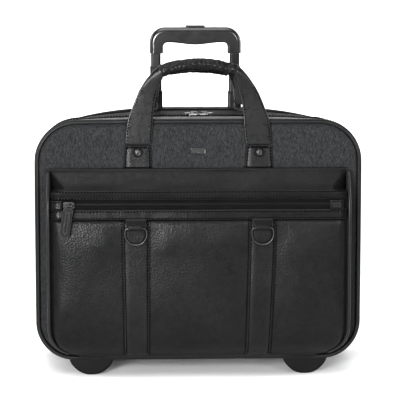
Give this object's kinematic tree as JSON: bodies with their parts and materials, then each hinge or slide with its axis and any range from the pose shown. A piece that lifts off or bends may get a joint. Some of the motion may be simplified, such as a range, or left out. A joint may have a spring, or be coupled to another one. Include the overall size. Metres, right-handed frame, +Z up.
{
  "type": "rolling laptop case",
  "caption": "Rolling laptop case with an opening front section, leather pocket, carry handles, telescoping pull handle and rear wheels.",
  "frame": {"origin": "on the floor, under the middle of the case's box", "axes": "+Z up, the front with the pocket faces -Y, +X to the right seen from the front"},
  "size_m": [0.425, 0.203, 0.452],
  "materials": {
    "tweed": "heathered tweed weave",
    "gusset_fabric": "dense woven nylon",
    "lining": "plain woven lining over foam",
    "leather": "fine grained, semi-matt",
    "board": "sheet",
    "zip_tape": "woven tape with nylon coil",
    "moulded": "fine spark-eroded texture",
    "grip": "satin moulded",
    "tube": "dark anodised",
    "bush": "moulded",
    "bright": "polished nickel",
    "steel": "plain steel",
    "tyre": "polyurethane, matt",
    "hub": "moulded"
  },
  "bodies": {
    "case": {"case_gusset": "gusset_fabric", "back_board": "board", "base_board": "board", "rear_gusset": "leather", "rear_cover": "gusset_fabric", "laptop_divider": "lining", "main_zip_rear": "zip_tape", "front_feet": "moulded", "foot_screws": "steel", "wheel_housing_left": "moulded", "wheel_housing_right": "moulded", "housing_screws": "steel", "wheel_axles": "steel", "trolley_outer_tubes": "tube", "trolley_bezel": "moulded", "trolley_bottom_bracket": "moulded", "rear_handle_tabs": "leather"},
    "front_section": {"front_panel": "tweed", "front_gusset": "gusset_fabric", "main_zip_front": "zip_tape", "pocket_top_band": "leather", "pocket_zip_tape": "zip_tape", "pocket_front_panel": "leather", "pocket_gusset": "leather", "pocket_straps": "leather", "dring_loops": "leather", "pocket_zip_end_tabs": "leather", "front_handle_bases": "leather", "handle_rivets": "bright"},
    "front_handle": {"front_handle_straps": "leather", "front_handle_grip": "leather"},
    "rear_handle": {"rear_handle_straps": "leather", "rear_handle_grip": "leather", "rear_handle_rings": "bright"},
    "stage_a": {"stage_a_tubes": "tube", "stage_a_collars": "bush"},
    "stage_b": {"stage_b_tubes": "tube", "stage_b_collars": "bush"},
    "stage_c": {"stage_c_tubes": "tube", "lock_blocks": "bush", "grip_front_shell": "grip", "grip_rear_shell": "grip"},
    "release": {"release_button": "grip", "push_rods": "steel"},
    "lock_pin_left": {"lock_pin_left": "steel"},
    "lock_pin_right": {"lock_pin_right": "steel"},
    "wheel_left": {"tyre_left": "tyre", "hub_left": "hub", "bearings_left": "steel"},
    "wheel_right": {"tyre_right": "tyre", "hub_right": "hub", "bearings_right": "steel"},
    "pocket_slider": {"pocket_slider": "bright"},
    "pocket_pull": {"pocket_pull": "leather"},
    "main_slider_left": {"main_slider_left": "bright"},
    "main_slider_right": {"main_slider_right": "bright"},
    "main_pull_left": {"main_pull_left": "bright"},
    "main_pull_right": {"main_pull_right": "bright"},
    "dring_left": {"dring_left": "bright"},
    "dring_right": {"dring_right": "bright"}
  },
  "joints": [
    {"name": "front_opening", "type": "hinge", "parent": "case", "child": "front_section", "pos_m": [0, -0.058, 0.024], "axis": [1, 0, 0], "range_deg": [0, 35]},
    {"name": "front_handle_swing", "type": "hinge", "parent": "front_section", "child": "front_handle", "pos_m": [0, -0.0621, 0.3072], "axis": [1, 0, 0], "range_deg": [0, 90]},
    {"name": "rear_handle_swing", "type": "hinge", "parent": "case", "child": "rear_handle", "pos_m": [0, 0.048, 0.34], "axis": [1, 0, 0], "range_deg": [-3, 68]},
    {"name": "stage_a_slide", "type": "slide", "parent": "case", "child": "stage_a", "axis": [0, 0, 1], "range_m": [-0.019, 0.18]},
    {"name": "stage_b_slide", "type": "slide", "parent": "stage_a", "child": "stage_b", "axis": [0, 0, 1], "range_m": [-0.0305, 0.18]},
    {"name": "stage_c_slide", "type": "slide", "parent": "stage_b", "child": "stage_c", "axis": [0, 0, 1], "range_m": [-0.0175, 0.18]},
    {"name": "release_press", "type": "slide", "parent": "stage_c", "child": "release", "axis": [0, 0, -1], "range_m": [0, 0.003], "stiffness_N_per_m": 800, "springref_m": -0.004},
    {"name": "lock_pin_left_slide", "type": "slide", "parent": "stage_c", "child": "lock_pin_left", "axis": [1, 0, 0], "range_m": [0, 0.001]},
    {"name": "lock_pin_right_slide", "type": "slide", "parent": "stage_c", "child": "lock_pin_right", "axis": [-1, 0, 0], "range_m": [0, 0.001]},
    {"name": "wheel_left_spin", "type": "hinge", "parent": "case", "child": "wheel_left", "pos_m": [-0.178, 0.0715, 0.03], "axis": [1, 0, 0], "continuous": true},
    {"name": "wheel_right_spin", "type": "hinge", "parent": "case", "child": "wheel_right", "pos_m": [0.178, 0.0715, 0.03], "axis": [1, 0, 0], "continuous": true},
    {"name": "pocket_slider_run", "type": "slide", "parent": "front_section", "child": "pocket_slider", "axis": [1, 0, 0], "range_m": [0, 0.325]},
    {"name": "pocket_pull_swing", "type": "hinge", "parent": "pocket_slider", "child": "pocket_pull", "pos_m": [-0.168, -0.0989, 0.2315], "axis": [-1, 0, 0], "range_deg": [0, 150]},
    {"name": "main_slider_left_run", "type": "slide", "parent": "case", "child": "main_slider_left", "axis": [-1, 0, 0], "range_m": [0, 0.12]},
    {"name": "main_slider_right_run", "type": "slide", "parent": "case", "child": "main_slider_right", "axis": [1, 0, 0], "range_m": [0, 0.12]},
    {"name": "main_pull_left_swing", "type": "hinge", "parent": "main_slider_left", "child": "main_pull_left", "pos_m": [-0.0068, -0.014, 0.3422], "axis": [0, 1, 0], "range_deg": [0, 120]},
    {"name": "main_pull_right_swing", "type": "hinge", "parent": "main_slider_right", "child": "main_pull_right", "pos_m": [0.0108, -0.014, 0.3422], "axis": [0, -1, 0], "range_deg": [0, 120]},
    {"name": "dring_left_swing", "type": "hinge", "parent": "front_section", "child": "dring_left", "pos_m": [-0.082, -0.0974, 0.2014], "axis": [-1, 0, 0], "range_deg": [0, 120]},
    {"name": "dring_right_swing", "type": "hinge", "parent": "front_section", "child": "dring_right", "pos_m": [0.082, -0.0974, 0.2014], "axis": [-1, 0, 0], "range_deg": [0, 120]}
  ],
  "couplings": [
    {"joint": "lock_pin_left_slide", "follows": "release_press", "ratio": 0.3333},
    {"joint": "lock_pin_right_slide", "follows": "release_press", "ratio": 0.3333}
  ]
}
